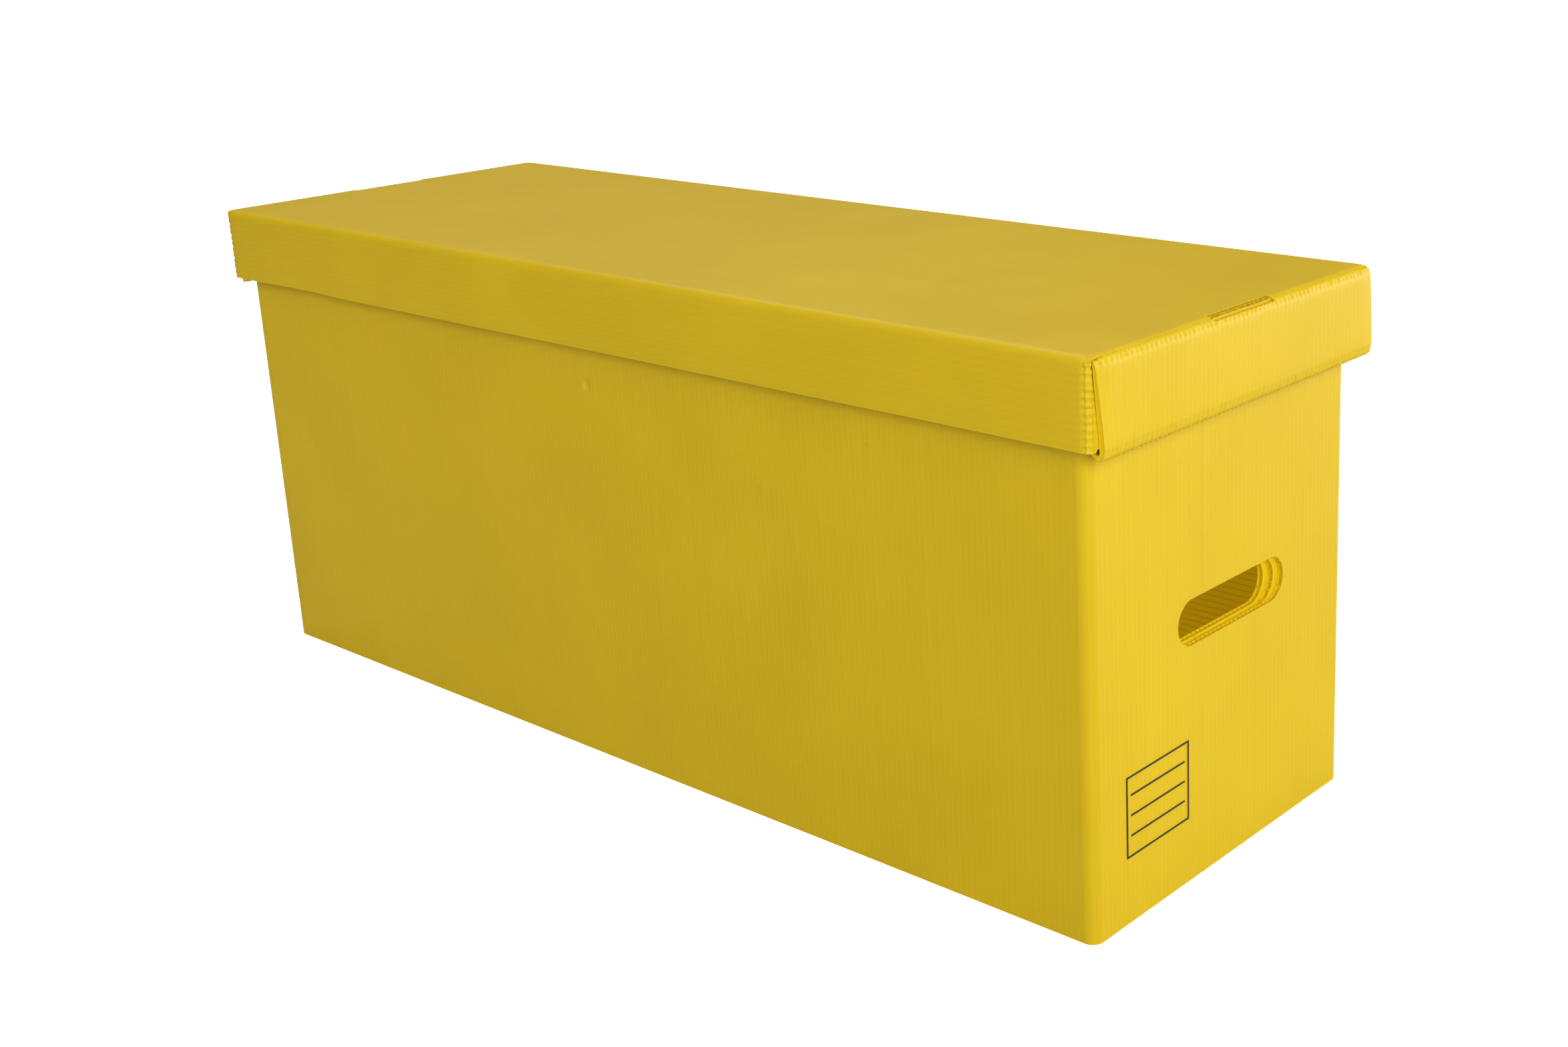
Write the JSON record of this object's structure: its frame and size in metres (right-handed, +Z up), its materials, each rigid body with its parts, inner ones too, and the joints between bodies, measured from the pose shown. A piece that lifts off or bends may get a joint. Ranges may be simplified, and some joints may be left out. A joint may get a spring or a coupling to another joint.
{
  "type": "fluted plastic storage box",
  "caption": "Long lidded storage box folded from fluted polypropylene board, with layered ends, oval handholes and a lift-off lid with locked, rolled-over end skirts.",
  "frame": {"origin": "centre of the underside of the box, on the surface it stands on", "axes": "+X along the length towards the printed end, +Y to the back, +Z up"},
  "size_m": [0.76, 0.259, 0.3143],
  "materials": {
    "box_board": "extruded fluted polypropylene board, satin",
    "lid_board": "extruded fluted polypropylene board, satin",
    "printed_ink": "screen-printed black ink"
  },
  "bodies": {
    "box": {"sleeve_front_wall": "box_board", "sleeve_back_wall": "box_board", "sleeve_right_end": "box_board", "sleeve_left_end": "box_board", "tray_base": "box_board", "tray_front_wall": "box_board", "tray_back_wall": "box_board", "tray_right_end": "box_board", "tray_left_end": "box_board", "tray_front_right_flap": "box_board", "tray_back_right_flap": "box_board", "tray_front_left_flap": "box_board", "tray_back_left_flap": "box_board", "printed_panel": "printed_ink"},
    "lid": {"lid_top": "lid_board", "lid_front_skirt": "lid_board", "lid_back_skirt": "lid_board", "lid_right_end_skirt": "lid_board", "lid_right_inner_panel": "lid_board", "lid_left_end_skirt": "lid_board", "lid_left_inner_panel": "lid_board", "lid_front_right_tuck": "lid_board", "lid_back_right_tuck": "lid_board", "lid_front_left_tuck": "lid_board", "lid_back_left_tuck": "lid_board"}
  },
  "joints": [
    {"name": "lid_lift", "type": "slide", "parent": "box", "child": "lid", "axis": [0, 0, 1], "range_m": [0, 0.35]}
  ]
}
